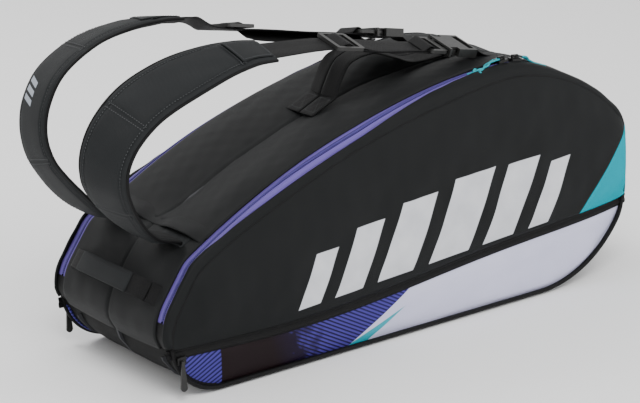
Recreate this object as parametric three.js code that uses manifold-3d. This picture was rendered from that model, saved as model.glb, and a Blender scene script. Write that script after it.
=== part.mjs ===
// Racket tournament bag: a long wedge-shaped soft bag with two zipped racket compartments, a lower pocket along
// each side, two padded shoulder straps over the top, two webbing carry handles and a grab handle on the low end.
// Millimetres. X runs along the bag from the low (grab handle) end to the nose, Y across it, Z up. The origin is
// the middle of the flat bottom.
import * as THREE from 'three';
import { mergeVertices } from 'three/addons/utils/BufferGeometryUtils.js';
import Module from 'manifold-3d';

const wasm = await Module();
wasm.setup();

// ---------- driving dimensions ----------
const BAG_LENGTH = 750;
const HALF_LENGTH = BAG_LENGTH / 2;
const HALF_WIDTH = 126; // outer face of a side panel at the low end
const TAPER = 0.11; // share of the width that is lost by the nose
const NOSE_FROM = 690; // beyond this the nose is drawn in, by NOSE_BLUNT
const NOSE_BLUNT = 0.8;
const FABRIC = 5; // padded, lined panel
const GAP = 0.4; // between touching pieces
const ZIP_LINE = 112; // distance of a main zip's chain from the middle plane at the low end
const ZIP_TAPE = 9; // visible width of one tape
const TAPE_THICK = 2;
const SPLIT_LOW_END = 60; // height of the pocket line at the low end
const SPLIT_NOSE = 107; // and at the nose
const CROSS_SEAM_X = 78; // where the end panel meets the back panel
const NOSE_SEAM_X = 590;
const PIPING_R = 3;
const WEBBING = 38;
const WEBBING_THICK = 2.4;
const PAD_WIDTH = 70;
const PAD_THICK = 12;

// ---------- materials ----------
const finish = (color, roughness, metalness = 0) => new THREE.MeshStandardMaterial({ color, roughness, metalness });
const SHELL = finish(0x1d2021, 0.62);
const SIDE = finish(0x16191a, 0.5);
const POCKET = finish(0xa9a8bf, 0.38);
const PURPLE = finish(0x5b4f9e, 0.55);
const TRIM = finish(0x0b0b0b, 0.6);
const LINING = finish(0x2a2c2f, 0.8);
const WEB = finish(0x1a1b18, 0.75);
const PLASTIC = finish(0x141412, 0.35);
const METAL = finish(0x1b1c1d, 0.35, 0.8);
const CYAN = finish(0x19b6c9, 0.6);

const bag = new THREE.Group();

// ---------- solids ----------
// A closed geometry as a manifold-3d solid, with the vertices that faces share merged.
function solid(geometry) {
  const bare = geometry.index ? geometry.toNonIndexed() : geometry.clone();
  bare.deleteAttribute('normal');
  bare.deleteAttribute('uv');
  const merged = mergeVertices(bare, 1e-3);
  return new wasm.Manifold(new wasm.Mesh({
    numProp: 3,
    vertProperties: merged.attributes.position.array,
    triVerts: new Uint32Array(merged.index.array),
  }));
}

function geometryOf(shape) {
  const mesh = shape.getMesh();
  const stride = mesh.numProp;
  const position = new Float32Array(mesh.numVert * 3);
  for (let i = 0; i < mesh.numVert; i++) position.set(mesh.vertProperties.subarray(i * stride, i * stride + 3), i * 3);
  return new THREE.BufferGeometry()
    .setAttribute('position', new THREE.BufferAttribute(position, 3))
    .setIndex(new THREE.BufferAttribute(new Uint32Array(mesh.triVerts), 1));
}

// Adds one named piece. Pieces are drawn with X from the low end and moved to the middle here.
function piece(name, shape, material) {
  const geometry = shape.isBufferGeometry ? shape : geometryOf(shape);
  const mesh = new THREE.Mesh(geometry, material);
  mesh.name = name;
  mesh.position.x = -HALF_LENGTH;
  bag.add(mesh);
  return mesh;
}

const block = (x0, x1, y0, y1, z0, z1) => solid(
  new THREE.BoxGeometry(x1 - x0, y1 - y0, z1 - z0).translate((x0 + x1) / 2, (y0 + y1) / 2, (z0 + z1) / 2),
);

// Rings of the same number of points, skinned into one closed solid. The first ring faces back along the skin.
function skin(rings, closedLoop = false) {
  const n = rings[0].length;
  const position = rings.flat().flatMap((p) => [p.x, p.y, p.z]);
  const index = [];
  const last = closedLoop ? rings.length : rings.length - 1;
  for (let r = 0; r < last; r++) {
    for (let i = 0; i < n; i++) {
      const a = r * n + i;
      const b = r * n + ((i + 1) % n);
      const c = ((r + 1) % rings.length) * n + i;
      const d = ((r + 1) % rings.length) * n + ((i + 1) % n);
      index.push(a, b, d, a, d, c);
    }
  }
  if (!closedLoop) {
    for (const [ring, flip] of [[0, true], [rings.length - 1, false]]) {
      const flat = flatten(rings[ring]);
      for (const [a, b, c] of THREE.ShapeUtils.triangulateShape(flat, [])) {
        const base = ring * n;
        index.push(...(flip ? [base + a, base + c, base + b] : [base + a, base + b, base + c]));
      }
    }
  }
  const geometry = new THREE.BufferGeometry();
  geometry.setAttribute('position', new THREE.BufferAttribute(new Float32Array(position), 3));
  geometry.setIndex(index);
  const made = solid(geometry);
  if (made.volume() > 0) return made;
  for (let i = 0; i < index.length; i += 3) [index[i + 1], index[i + 2]] = [index[i + 2], index[i + 1]];
  geometry.setIndex(index);
  return solid(geometry);
}

// A planar ring's points in its own plane, for triangulating a cap.
function flatten(ring) {
  const u = new THREE.Vector3().subVectors(ring[1], ring[0]).normalize();
  const normal = new THREE.Vector3();
  for (let i = 0; i < ring.length; i++) {
    normal.add(new THREE.Vector3().crossVectors(ring[i], ring[(i + 1) % ring.length]));
  }
  normal.normalize();
  const v = new THREE.Vector3().crossVectors(normal, u);
  return ring.map((p) => new THREE.Vector2(
    new THREE.Vector3().subVectors(p, ring[0]).dot(u),
    new THREE.Vector3().subVectors(p, ring[0]).dot(v),
  ));
}

// ---------- the bag's side outline ----------
const deg = THREE.MathUtils.degToRad;
// Arcs of the outline, anticlockwise from the low end: centre x, z, radius, start and end of the normal's angle.
const HEEL = { x: 78, z: 77.4, r: 77.4, from: 145, to: 270 };
const TOE = { x: 589.2, z: 176.6, r: 176.6, from: 270, to: 360 };
const NOSE = { x: 725.8, z: 176.6, r: 40, from: 0, to: 34 };
const CREST = { x: 534.6, z: 47.7, r: 270.6, from: 34, to: 94 };
const BACK = { x: 587, z: -702, r: 1022.1, from: 94, to: 121.5 };
const SHOULDER = { x: 75.4, z: 132.9, r: 43, from: 121.5, to: 145 };
const ARCS = [HEEL, TOE, NOSE, CREST, BACK, SHOULDER];
const ARC_STEPS = 6;

// The outer surface's point at normal angle a on an arc.
const onArc = (arc, a, out = 0) => new THREE.Vector2(
  arc.x + (arc.r + out) * Math.cos(deg(a)),
  arc.z + (arc.r + out) * Math.sin(deg(a)),
);

// A side panel's edge is rounded into the back of the bag by a full step, and into the bottom by less.
const rounding = (a) => 0.65 + 0.35 * Math.sin(deg(a));

// The outline as points in X and Z, grown by out and drawn in by round where the edge is rounded.
function outline(round = 0, out = 0) {
  const points = [];
  for (const arc of ARCS) {
    for (let i = 0; i <= ARC_STEPS; i++) {
      const a = arc.from + ((arc.to - arc.from) * i) / ARC_STEPS;
      points.push(onArc(arc, a, out - round * rounding(a)));
    }
  }
  return points.filter((p, i) => i === 0 || p.distanceTo(points[i - 1]) > 0.5);
}

const widthAt = (x) => 1 - (TAPER * x) / BAG_LENGTH;
const splitAt = (x) => SPLIT_LOW_END + ((SPLIT_NOSE - SPLIT_LOW_END) * x) / BAG_LENGTH;

// The nose is blunt: what lies beyond NOSE_FROM is drawn in.
const noseAt = (x) => (x > NOSE_FROM ? NOSE_FROM + (x - NOSE_FROM) * NOSE_BLUNT : x);

// Narrows a solid towards the nose and blunts it.
const taper = (shape) => shape.warp((v) => {
  v[1] *= widthAt(v[0]);
  v[0] = noseAt(v[0]);
});

// The bag's whole volume, grown by out. The side panels' edges are rounded by stepping the outline in.
const EDGE = [[0, 14], [3, 7], [8, 2], [14, 0]]; // distance in from the side face, inset of the outline there
function bagVolume(out = 0) {
  const stations = [];
  for (const [fromSide, round] of EDGE) stations.push([-(HALF_WIDTH + out - fromSide), round]);
  for (const [fromSide, round] of [...EDGE].reverse()) stations.push([HALF_WIDTH + out - fromSide, round]);
  return skin(stations.map(([y, round]) => outline(round, out).map((p) => new THREE.Vector3(p.x, y, p.y))));
}

const outer = bagVolume();
const shell = outer.subtract(bagVolume(-FABRIC));

// A prism over the bag's side, above or below the pocket line.
function sideOfSplit(above, offset) {
  const far = above ? 600 : -300;
  const a = new THREE.Vector2(-200, splitAt(-200) + offset);
  const b = new THREE.Vector2(1000, splitAt(1000) + offset);
  const shape = new THREE.Shape(above
    ? [a, b, new THREE.Vector2(1000, far), new THREE.Vector2(-200, far)]
    : [new THREE.Vector2(-200, far), new THREE.Vector2(1000, far), b, a]);
  return solid(new THREE.ExtrudeGeometry(shape, { depth: 600, bevelEnabled: false }).rotateX(Math.PI / 2).translate(0, 300, 0));
}
const above = sideOfSplit(true, GAP);
const below = sideOfSplit(false, -GAP);

// ---------- base, pockets and the panels between the zips ----------
const POCKET_WALL = 119; // inside of a pocket's outer wall
const POCKET_LINING = 98;
const lower = shell.intersect(below);
piece('base_panel', taper(lower.intersect(block(-50, 900, -POCKET_WALL, POCKET_WALL, -50, 600))), TRIM);
for (const [side, sign] of [['near', -1], ['far', 1]]) {
  const y = [sign * (POCKET_WALL + GAP), sign * (HALF_WIDTH + 20)].sort((a, b) => a - b);
  piece(`${side}_pocket_panel`, taper(lower.intersect(block(-50, 900, y[0], y[1], -50, 600))), POCKET);
}

// Each pocket's lining stands inside its outer wall.
const inside = bagVolume(-FABRIC - GAP).intersect(sideOfSplit(false, -12));
for (const [side, sign] of [['near', -1], ['far', 1]]) {
  const y = [sign * POCKET_LINING, sign * (POCKET_LINING + 2)].sort((a, b) => a - b);
  piece(`${side}_pocket_lining`, taper(inside.intersect(block(-50, 900, y[0], y[1], -50, 600))), LINING);
}

const upper = shell.intersect(above);
const strip = upper.intersect(block(-50, 900, -ZIP_LINE + GAP, ZIP_LINE - GAP, -50, 600));
piece('end_panel', taper(strip.intersect(block(-50, CROSS_SEAM_X - GAP, -200, 200, -50, 600))), SHELL);
piece('back_panel', taper(strip.intersect(block(CROSS_SEAM_X, NOSE_SEAM_X - GAP, -200, 200, -50, 600))), SHELL);
piece('nose_panel', taper(strip.intersect(block(NOSE_SEAM_X, 900, -200, 200, -50, 600))), SHELL);

// ---------- divider between the two compartments ----------
const dividerOutline = new THREE.Shape(outline(0, -FABRIC - 1).map((p) => new THREE.Vector2(noseAt(p.x), p.y)));
const divider = new THREE.ExtrudeGeometry(dividerOutline, { depth: 4, bevelEnabled: false }).rotateX(Math.PI / 2).translate(0, 2, 0);
piece('centre_divider', divider, LINING);

// ---------- side panels: they swing out along the pocket line when the zip is open ----------
const tapes = bagVolume(GAP + TAPE_THICK).subtract(bagVolume(GAP)).intersect(sideOfSplit(true, 26));
const TAPE_END_X = 640; // the main zips stop short of the nose
for (const [side, sign] of [['near', -1], ['far', 1]]) {
  const slab = (from, to, x1 = 900) => {
    const y = [sign * from, sign * to].sort((a, b) => a - b);
    return block(-50, x1, y[0], y[1], -50, 600);
  };
  piece(`${side}_side_panel`, taper(upper.intersect(slab(ZIP_LINE, HALF_WIDTH + 20))), SIDE);
  piece(`${side}_zip_tape_fixed`, taper(tapes.intersect(slab(ZIP_LINE - ZIP_TAPE, ZIP_LINE - GAP, TAPE_END_X))), PURPLE);
  piece(`${side}_zip_tape_opening`, taper(tapes.intersect(slab(ZIP_LINE, ZIP_LINE + ZIP_TAPE, TAPE_END_X))), PURPLE);
}

// ---------- piping round each side panel and pocket ----------
const PIPING_CLEAR = 8; // it stops this far from the pocket line
const PIPING_STEP = 40; // its straight runs are followed at least this closely
// Points of the piping's line in order, on the side given, where keep says; out is its height over the edge's end.
function pipingPoints(sign, out, keep) {
  const line = outline(EDGE[0][1], out);
  const start = line.findIndex((p, i) => keep(p) && !keep(line[(i + line.length - 1) % line.length]));
  const run = [];
  for (let i = 0; i < line.length && keep(line[(start + i) % line.length]); i++) run.push(line[(start + i) % line.length]);
  const close = run.flatMap((p, i) => {
    const next = run[i + 1] ?? p;
    const parts = Math.ceil(p.distanceTo(next) / PIPING_STEP) || 1;
    return Array.from({ length: parts }, (_, k) => p.clone().lerp(next, k / parts));
  });
  return close.map((p) => new THREE.Vector3(noseAt(p.x), sign * (HALF_WIDTH + PIPING_R + GAP) * widthAt(p.x), p.y));
}

function tube(points, radius, steps, sides = 8) {
  const section = new THREE.Shape();
  section.absarc(0, 0, radius, 0, Math.PI * 2);
  const ring = new THREE.Shape(section.getPoints(sides / 2).slice(0, -1));
  const path = new THREE.CatmullRomCurve3(points, false, 'centripetal');
  return new THREE.ExtrudeGeometry(ring, { steps, bevelEnabled: false, extrudePath: path });
}

for (const [side, sign] of [['near', -1], ['far', 1]]) {
  const high = pipingPoints(sign, PIPING_R, (p) => p.y > splitAt(p.x) + PIPING_CLEAR);
  const low = pipingPoints(sign, 1, (p) => p.y < splitAt(p.x) - PIPING_CLEAR);
  piece(`${side}_side_piping`, tube(high, PIPING_R, 40, 6), TRIM);
  piece(`${side}_base_piping`, tube(low, PIPING_R, 28, 6), TRIM);
}

// ---------- pocket zips along the pocket line ----------
const POCKET_ZIP_FROM = 12;
const POCKET_ZIP_TO = 690;
const POCKET_ZIP_DROP = 9; // the chain's middle is this far below the pocket line
const splitSlope = Math.atan2(SPLIT_NOSE - SPLIT_LOW_END, BAG_LENGTH);
const sideYaw = Math.atan2(TAPER * HALF_WIDTH, BAG_LENGTH); // the side faces' lean towards the nose

// A frame on a side panel's outer face: x along the pocket line, y out of the face.
function onSide(sign, x, drop, out) {
  const y = sign * (HALF_WIDTH * widthAt(x) + out);
  return new THREE.Matrix4().makeTranslation(x, y, splitAt(x) - drop)
    .multiply(new THREE.Matrix4().makeRotationZ(-sign * sideYaw))
    .multiply(new THREE.Matrix4().makeRotationY(-splitSlope));
}
const box = (l, w, h, x = 0, y = 0, z = 0) => new THREE.BoxGeometry(l, w, h).translate(x, y, z);
for (const [side, sign] of [['near', -1], ['far', 1]]) {
  const length = POCKET_ZIP_TO - POCKET_ZIP_FROM;
  const middle = (POCKET_ZIP_TO + POCKET_ZIP_FROM) / 2;
  piece(`${side}_pocket_zip`, box(length, TAPE_THICK, 10).applyMatrix4(onSide(sign, middle, POCKET_ZIP_DROP, 2)), TRIM);
}

// ---------- webbing, straps and handles ----------
// A frame at p with x along dir and y across, turned about dir by turn degrees so that on top the outer edge drops.
function frameAt(p, dir, sign, turn) {
  const x = dir.clone().normalize();
  const flat = new THREE.Vector3(0, 1, 0).addScaledVector(x, -x.y).normalize();
  const up = new THREE.Vector3().crossVectors(x, flat);
  const y = flat.multiplyScalar(Math.cos(deg(turn))).addScaledVector(up, -sign * Math.sin(deg(turn)));
  const z = new THREE.Vector3().crossVectors(x, y);
  return new THREE.Matrix4().makeBasis(x, y, z).setPosition(p);
}

// A flat band swept along points. shape(t) gives { width, thick, turn } at 0..1 along it.
function band(points, sign, steps, shape) {
  const path = new THREE.CatmullRomCurve3(points, false, 'centripetal');
  const rings = [];
  for (let i = 0; i <= steps; i++) {
    const t = i / steps;
    const { width, thick, turn } = shape(t);
    const frame = frameAt(path.getPointAt(t), path.getTangentAt(t), sign, turn);
    const w = width / 2;
    const h = thick / 2;
    const bevel = Math.min(h, w) * 0.6;
    const section = [[-w, -h + bevel], [-w + bevel, -h], [w - bevel, -h], [w, -h + bevel],
      [w, h - bevel], [w - bevel, h], [-w + bevel, h], [-w, h - bevel]];
    rings.push(section.map(([y, z]) => new THREE.Vector3(0, y, z).applyMatrix4(frame)));
  }
  return skin(rings);
}
const mix = (a, b, t) => a + (b - a) * THREE.MathUtils.clamp(t, 0, 1);

// The value at t of a line through [t, value] points.
function tableAt(table, t) {
  const i = Math.max(1, table.findIndex(([from]) => from >= t));
  const [[t0, v0], [t1, v1]] = [table[i - 1], table[i]];
  return mix(v0, v1, (t - t0) / (t1 - t0));
}
const at = (sign, list) => list.map(([x, y, z]) => new THREE.Vector3(x, sign * y, z));

// Shoulder straps: a padded loop that leaves its root on the end of the back panel, runs out over the low end,
// and comes back over the top, where webbing takes it to an adjuster and a side release buckle.
const STRAPS = {
  near: {
    sign: -1,
    pad: [[48, 60, 184], [22, 62, 192], [-4, 66, 213], [-28, 74, 243], [-42, 83, 272], [-42, 88, 303],
      [-26, 91, 334], [8, 92, 362], [60, 90, 381], [117, 84, 391], [165, 76, 392], [200, 70, 388]],
    turn: [[0, 0], [0.15, 22], [0.35, 34], [0.6, 32], [0.85, 24], [1, 20]],
    buckle: 470,
    buckleUp: 30, // over the bag's surface
    adjuster: 322,
  },
  far: {
    sign: 1,
    pad: [[48, 60, 184], [24, 62, 193], [0, 67, 214], [-21, 76, 242], [-34, 84, 270], [-37, 89, 303],
      [-28, 91, 337], [-4, 92, 370], [42, 90, 397], [92, 84, 409], [134, 76, 411], [164, 70, 408]],
    turn: [[0, 0], [0.2, 4], [0.45, 5], [0.65, 11], [0.9, 12], [1, 20]],
    buckle: 440,
    buckleUp: 36,
    adjuster: 232,
  },
};
const ROOT = [[96, 60, 200], [76, 60, 189], [58, 60, 178.4]];
const BUCKLE_Y = 57;
const backHeight = (x) => {
  const arc = x < onArc(CREST, 95).x ? BACK : CREST;
  return arc.z + Math.sqrt(arc.r ** 2 - (x - arc.x) ** 2);
};
const stretch = (strap) => { // the straight run of webbing from the adjuster to the buckle
  const end = new THREE.Vector3(strap.buckle, strap.sign * BUCKLE_Y, backHeight(strap.buckle) + strap.buckleUp);
  const last = strap.pad[strap.pad.length - 1];
  const start = new THREE.Vector3(strap.adjuster - 30, strap.sign * 54, mix(last[2], end.z, 0.22));
  return { start, end, dir: end.clone().sub(start).normalize() };
};

// A flat frame with slots cut through it, lying in X and Y.
function slotted(length, width, thick, slots, round = 4) {
  const outlineOf = (x0, x1, y0, y1, r, path) => {
    path.moveTo(x0 + r, y0);
    path.lineTo(x1 - r, y0).absarc(x1 - r, y0 + r, r, -Math.PI / 2, 0);
    path.lineTo(x1, y1 - r).absarc(x1 - r, y1 - r, r, 0, Math.PI / 2);
    path.lineTo(x0 + r, y1).absarc(x0 + r, y1 - r, r, Math.PI / 2, Math.PI);
    path.lineTo(x0, y0 + r).absarc(x0 + r, y0 + r, r, Math.PI, Math.PI * 1.5);
    return path;
  };
  const shape = outlineOf(-length / 2, length / 2, -width / 2, width / 2, round, new THREE.Shape());
  for (const [x0, x1, half] of slots) shape.holes.push(outlineOf(x0, x1, -half, half, 1, new THREE.Path()));
  return new THREE.ExtrudeGeometry(shape, { depth: thick, bevelEnabled: false, curveSegments: 3 }).translate(0, 0, -thick / 2);
}

const WEB_TURN = 12;
const PLATE = 4.5;
for (const [side, strap] of Object.entries(STRAPS)) {
  const { sign } = strap;
  const padShape = (t) => ({
    width: t < 0.16 ? mix(46, PAD_WIDTH, t / 0.16) : mix(PAD_WIDTH, 44, (t - 0.72) / 0.28),
    thick: mix(PAD_THICK, 7, (t - 0.9) / 0.1),
    turn: tableAt(strap.turn, t),
  });
  piece(`${side}_shoulder_pad`, band(at(sign, strap.pad), sign, 30, padShape), SHELL);
  piece(`${side}_strap_root`, band(at(sign, ROOT), sign, 6, () => ({ width: 56, thick: 8, turn: 0 })), WEB);

  const { start, end, dir } = stretch(strap);
  const padEnd = at(sign, [strap.pad[strap.pad.length - 1]])[0];
  const padDir = padEnd.clone().sub(at(sign, [strap.pad[strap.pad.length - 2]])[0]).normalize();
  const leave = padEnd.clone().addScaledVector(padDir, 1);
  const straight = [0, 0.25, 0.5, 0.75, 1].map((t) => start.clone().lerp(end, t));
  const way = [leave, padEnd.clone().addScaledVector(padDir, 14), ...straight];
  const share = leave.distanceTo(start) / (leave.distanceTo(start) + start.distanceTo(end));
  const webShape = (t) => ({ width: WEBBING, thick: WEBBING_THICK, turn: mix(20, WEB_TURN, t / share) });
  piece(`${side}_strap_webbing`, band(way, sign, 16, webShape), WEB);

  // Three-bar adjuster: it stands on the webbing and runs along it.
  const bars = slotted(42, 50, PLATE, [[-15, -3, 20], [3, 15, 20]]).translate(0, 0, WEBBING_THICK / 2 + PLATE / 2 + GAP);
  const place = start.clone().addScaledVector(dir, 30);
  piece(`${side}_strap_adjuster`, bars.applyMatrix4(frameAt(place, dir, sign, WEB_TURN)), PLASTIC);

  // Side release buckle: the half on the webbing has the prongs and slides out of the anchored half.
  const seat = frameAt(end, dir, sign, WEB_TURN);
  const lift = WEBBING_THICK / 2 + PLATE / 2 + GAP;
  const tail = solid(slotted(26, 48, PLATE, [[-7, 5, 19]]).translate(-12, 0, lift));
  const prong = (y) => solid(box(26, 6, PLATE, 11, y, lift));
  const latch = (y) => solid(box(9, 4, PLATE, 12, y, lift));
  const male = tail.add(prong(-13)).add(prong(13)).add(solid(box(28, 5, 3, 12, 0, lift))).add(latch(-17)).add(latch(17));
  piece(`${side}_buckle_prongs`, geometryOf(male).applyMatrix4(seat), PLASTIC);
  const sleeve = solid(box(44, 50, 11, 25, 0, lift))
    .subtract(solid(box(30, 40, 6, 17, 0, lift)))
    .subtract(solid(box(8, 40, 20, 40, 0, lift)))
    .subtract(solid(box(12, 20, 20, 12, 28, lift)))
    .subtract(solid(box(12, 20, 20, 12, -28, lift)));
  piece(`${side}_buckle_socket`, geometryOf(sleeve).applyMatrix4(seat), PLASTIC);

  // Anchor webbing from the buckle down to the back panel.
  const hook = new THREE.Vector3(51, 0, lift).applyMatrix4(seat);
  const foot = strap.buckle + 86;
  const down = [hook, new THREE.Vector3(foot - 22, sign * BUCKLE_Y, backHeight(foot - 22) + 10),
    new THREE.Vector3(foot, sign * BUCKLE_Y, backHeight(foot) + 3), new THREE.Vector3(foot + 18, sign * BUCKLE_Y, backHeight(foot + 18) + 2.4)];
  piece(`${side}_strap_anchor`, band(down, sign, 10, () => ({ width: WEBBING, thick: WEBBING_THICK, turn: 0 })), WEB);
}

// Carry handles: a webbing loop each side of the centre seam, with its ends sewn flat to the back panel.
const HANDLE_Y = 14.5;
const HANDLE_WIDTH = 26;
const HANDLE = [ // x, height over the panel
  [329.5, 8.6], [336, 21], [350, 41], [362, 46], [388, 46], [402, 41], [458, 11], [504.5, 7.6],
];
const TAB_LOW = [296, 328];
const TAB_HIGH = [506, 538];
for (const [side, sign] of [['near', -1], ['far', 1]]) {
  const loop = HANDLE.map(([x, up]) => new THREE.Vector3(x, sign * HANDLE_Y, backHeight(x) + up));
  piece(`${side}_carry_handle`, band(loop, sign, 24, () => ({ width: HANDLE_WIDTH, thick: WEBBING_THICK, turn: 0 })), WEB);
  const tab = ([x0, x1], lift0, lift1) => {
    const line = [0, 0.5, 1].map((t) => {
      const x = mix(x0, x1, t);
      return new THREE.Vector3(x, sign * HANDLE_Y, backHeight(x) + mix(lift0, lift1, t));
    });
    return band(line, sign, 4, () => ({ width: HANDLE_WIDTH, thick: WEBBING_THICK, turn: 0 }));
  };
  piece(`${side}_handle_tab_low`, tab(TAB_LOW, 2, 8), WEB);
  piece(`${side}_handle_tab_high`, tab(TAB_HIGH, 7, 2), WEB);
}

// Grab handle across the low end, with its ends sewn in beside the zips.
const GRAB_ANGLE = 145;
const grabPoint = (t, y, out) => { // t from 0 at the shoulder's end of the flat to 1 at the heel's
  const p = onArc(SHOULDER, GRAB_ANGLE, out).lerp(onArc(HEEL, GRAB_ANGLE, out), t);
  return new THREE.Vector3(p.x, y, p.y);
};
const GRAB_AT = 0.95;
const GRAB_HALF = 99;
const grabLine = [[-GRAB_HALF + 15, 9.9], [-72, 20], [-38, 27], [0, 29], [38, 27], [72, 20], [GRAB_HALF - 15, 9.9]];
function acrossBand(line, width, thick, steps) {
  const path = new THREE.CatmullRomCurve3(line.map(([y, out]) => grabPoint(GRAB_AT, y, out)), false, 'centripetal');
  const along = grabPoint(0, 0, 0).sub(grabPoint(1, 0, 0)).normalize();
  const rings = [];
  for (let i = 0; i <= steps; i++) {
    const t = i / steps;
    const tangent = path.getTangentAt(t);
    const normal = new THREE.Vector3().crossVectors(tangent, along).normalize();
    const centre = path.getPointAt(t);
    rings.push([[-1, -1], [1, -1], [1, 1], [-1, 1]].map(([a, b]) => centre.clone()
      .addScaledVector(along, (a * width) / 2).addScaledVector(normal, (b * thick) / 2)));
  }
  return skin(rings);
}
piece('grab_handle', acrossBand(grabLine, 30, 3, 18), WEB);
piece('grab_handle_tab_near', acrossBand([[-GRAB_HALF, 2.2], [-GRAB_HALF + 12, 8.8]], 30, 3, 2), WEB);
piece('grab_handle_tab_far', acrossBand([[GRAB_HALF - 12, 8.8], [GRAB_HALF, 2.2]], 30, 3, 2), WEB);

// ---------- zip sliders and their cord pulls ----------
// A frame on the outline over a zip: x along the zip towards the nose, z out of the bag.
function onZip(sign, arc, angle, out) {
  const p = onArc(arc, angle, out);
  const x = new THREE.Vector3(Math.sin(deg(angle)), sign * -TAPER * ZIP_LINE / BAG_LENGTH, -Math.cos(deg(angle))).normalize();
  const z0 = new THREE.Vector3(Math.cos(deg(angle)), 0, Math.sin(deg(angle)));
  const y = new THREE.Vector3().crossVectors(z0, x).normalize();
  const z = new THREE.Vector3().crossVectors(x, y);
  return new THREE.Matrix4().makeBasis(x, y, z).setPosition(p.x, sign * ZIP_LINE * widthAt(p.x), p.y);
}
const SLIDERS = { // the far zip's pair has been drawn further down the back than the near zip's
  near: {
    rear: { arc: BACK, angle: 92.7, towards: -1 },
    front: { arc: CREST, angle: 84.5, towards: 1 },
  },
  far: {
    rear: { arc: BACK, angle: 97.2, towards: -1 },
    front: { arc: BACK, angle: 95.9, towards: 1 },
  },
};
const SLIDER_BASE = GAP + TAPE_THICK + 0.8;
const CORD_R = 1.6;
for (const [side, sign] of [['near', -1], ['far', 1]]) {
  for (const [which, { arc, angle, towards }] of Object.entries(SLIDERS[side])) {
    const seat = onZip(sign, arc, angle, SLIDER_BASE);
    const bridge = solid(box(10, 3, 5, 0, 0, 5.5)).subtract(solid(box(6, 6, 2.6, 0, 0, 5.1)));
    const body = solid(box(15, 11, 3.4, 0, 0, 1.7)).add(bridge);
    piece(`${side}_${which}_slider`, geometryOf(body).applyMatrix4(seat), METAL);
    // The cord's two strands lie along the zip from the bridge to a knot.
    const eye = slotted(12, 7.6, 1.6, [[-4, 3, 2.2]], 1.5).translate(5, 0, 5.1);
    if (towards < 0) eye.rotateZ(Math.PI);
    piece(`${side}_${which}_pull_eye`, eye.applyMatrix4(seat), METAL);
    const strands = [-1, 1].map((s) => solid(tube([
      new THREE.Vector3(towards * 11.5, s * 1.5, 5.1), new THREE.Vector3(towards * 26, s * 1.5, 4.2), new THREE.Vector3(towards * 42, s * 1.5, 3.4),
    ], CORD_R, 4)));
    const knot = solid(new THREE.SphereGeometry(5, 10, 6).scale(1.5, 1, 0.9).translate(towards * 48, 0, 4.6));
    piece(`${side}_${which}_pull_cord`, geometryOf(strands[0].add(strands[1]).add(knot)).applyMatrix4(seat), CYAN);
  }
}

// ---------- pocket zip sliders with hanging pulls ----------
const POCKET_SLIDER_X = 20;
for (const [side, sign] of [['near', -1], ['far', 1]]) {
  const seat = onSide(sign, POCKET_SLIDER_X, POCKET_ZIP_DROP, 2 + TAPE_THICK / 2 + GAP);
  piece(`${side}_pocket_slider`, box(12, 4, 9, 0, sign * 2, 0).applyMatrix4(seat), METAL);
  const pull = new THREE.Shape();
  pull.moveTo(-2, 0).lineTo(-4.2, -33).absarc(0, -34, 4.5, Math.PI, Math.PI * 2).lineTo(2, 0);
  const tab = new THREE.ExtrudeGeometry(pull, { depth: 2.4, bevelEnabled: false, curveSegments: 4 }).rotateX(Math.PI / 2).translate(0, sign * 5.7 + 1.2, 0);
  const hang = new THREE.Matrix4().makeTranslation(POCKET_SLIDER_X, sign * (HALF_WIDTH * widthAt(POCKET_SLIDER_X) + 3.4), splitAt(POCKET_SLIDER_X) - POCKET_ZIP_DROP);
  piece(`${side}_pocket_pull`, tab.applyMatrix4(hang), PLASTIC);
}

export default bag;
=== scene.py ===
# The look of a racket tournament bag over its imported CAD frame. Lengths inside are millimetres from the bag's low
# end, bag() turns them into the row frame's metres.
import math
from functools import reduce

import bmesh
import bpy
import numpy as np
from mathutils import Matrix, Vector


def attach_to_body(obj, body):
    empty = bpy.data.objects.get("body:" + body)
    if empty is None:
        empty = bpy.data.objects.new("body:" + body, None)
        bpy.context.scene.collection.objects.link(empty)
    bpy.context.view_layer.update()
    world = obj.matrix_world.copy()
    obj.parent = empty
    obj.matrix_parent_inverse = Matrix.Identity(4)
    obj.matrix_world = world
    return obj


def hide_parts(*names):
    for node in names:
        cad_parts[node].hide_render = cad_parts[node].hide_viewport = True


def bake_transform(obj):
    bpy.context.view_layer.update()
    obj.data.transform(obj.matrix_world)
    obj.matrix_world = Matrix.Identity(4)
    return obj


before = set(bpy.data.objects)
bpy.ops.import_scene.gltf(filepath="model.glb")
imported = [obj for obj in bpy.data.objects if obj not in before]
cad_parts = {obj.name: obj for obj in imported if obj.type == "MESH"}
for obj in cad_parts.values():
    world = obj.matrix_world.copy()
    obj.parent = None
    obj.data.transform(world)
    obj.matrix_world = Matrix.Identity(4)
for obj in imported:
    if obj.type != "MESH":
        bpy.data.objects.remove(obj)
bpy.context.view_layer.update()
scene = bpy.context.scene
SIDES = (("near", -1), ("far", 1))

# ---------------------------------------------------------------- the bag's form
LENGTH, HALF_WIDTH, TAPER = 750.0, 126.0, 0.11
EDGE = 134.0  # distance across the back from its middle to the piping, round its rounded edge
# Tables of x and a length there:
FLAT = ((0, 126.5), (80, 126), (150, 119), (240, 113), (520, 113), (640, 120), (760, 120))  # the rounded edge begins
SUNK = ((0, 4), (70, 3.5), (220, 0), (560, 0), (590, 4), (620, 9), (655, 12), (760, 11))  # the back lies low
DROP = ((0, 14), (90, 14), (170, 19), (430, 19), (520, 14.5), (760, 14))  # the piping is under the back
SPLIT = np.polynomial.Polynomial.fit(
    (0, 48, 130, 196, 303, 401, 517, 619, 691, 750), (67, 65, 62.5, 61.5, 66, 78, 88, 94.5, 102, 110), 5)
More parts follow.
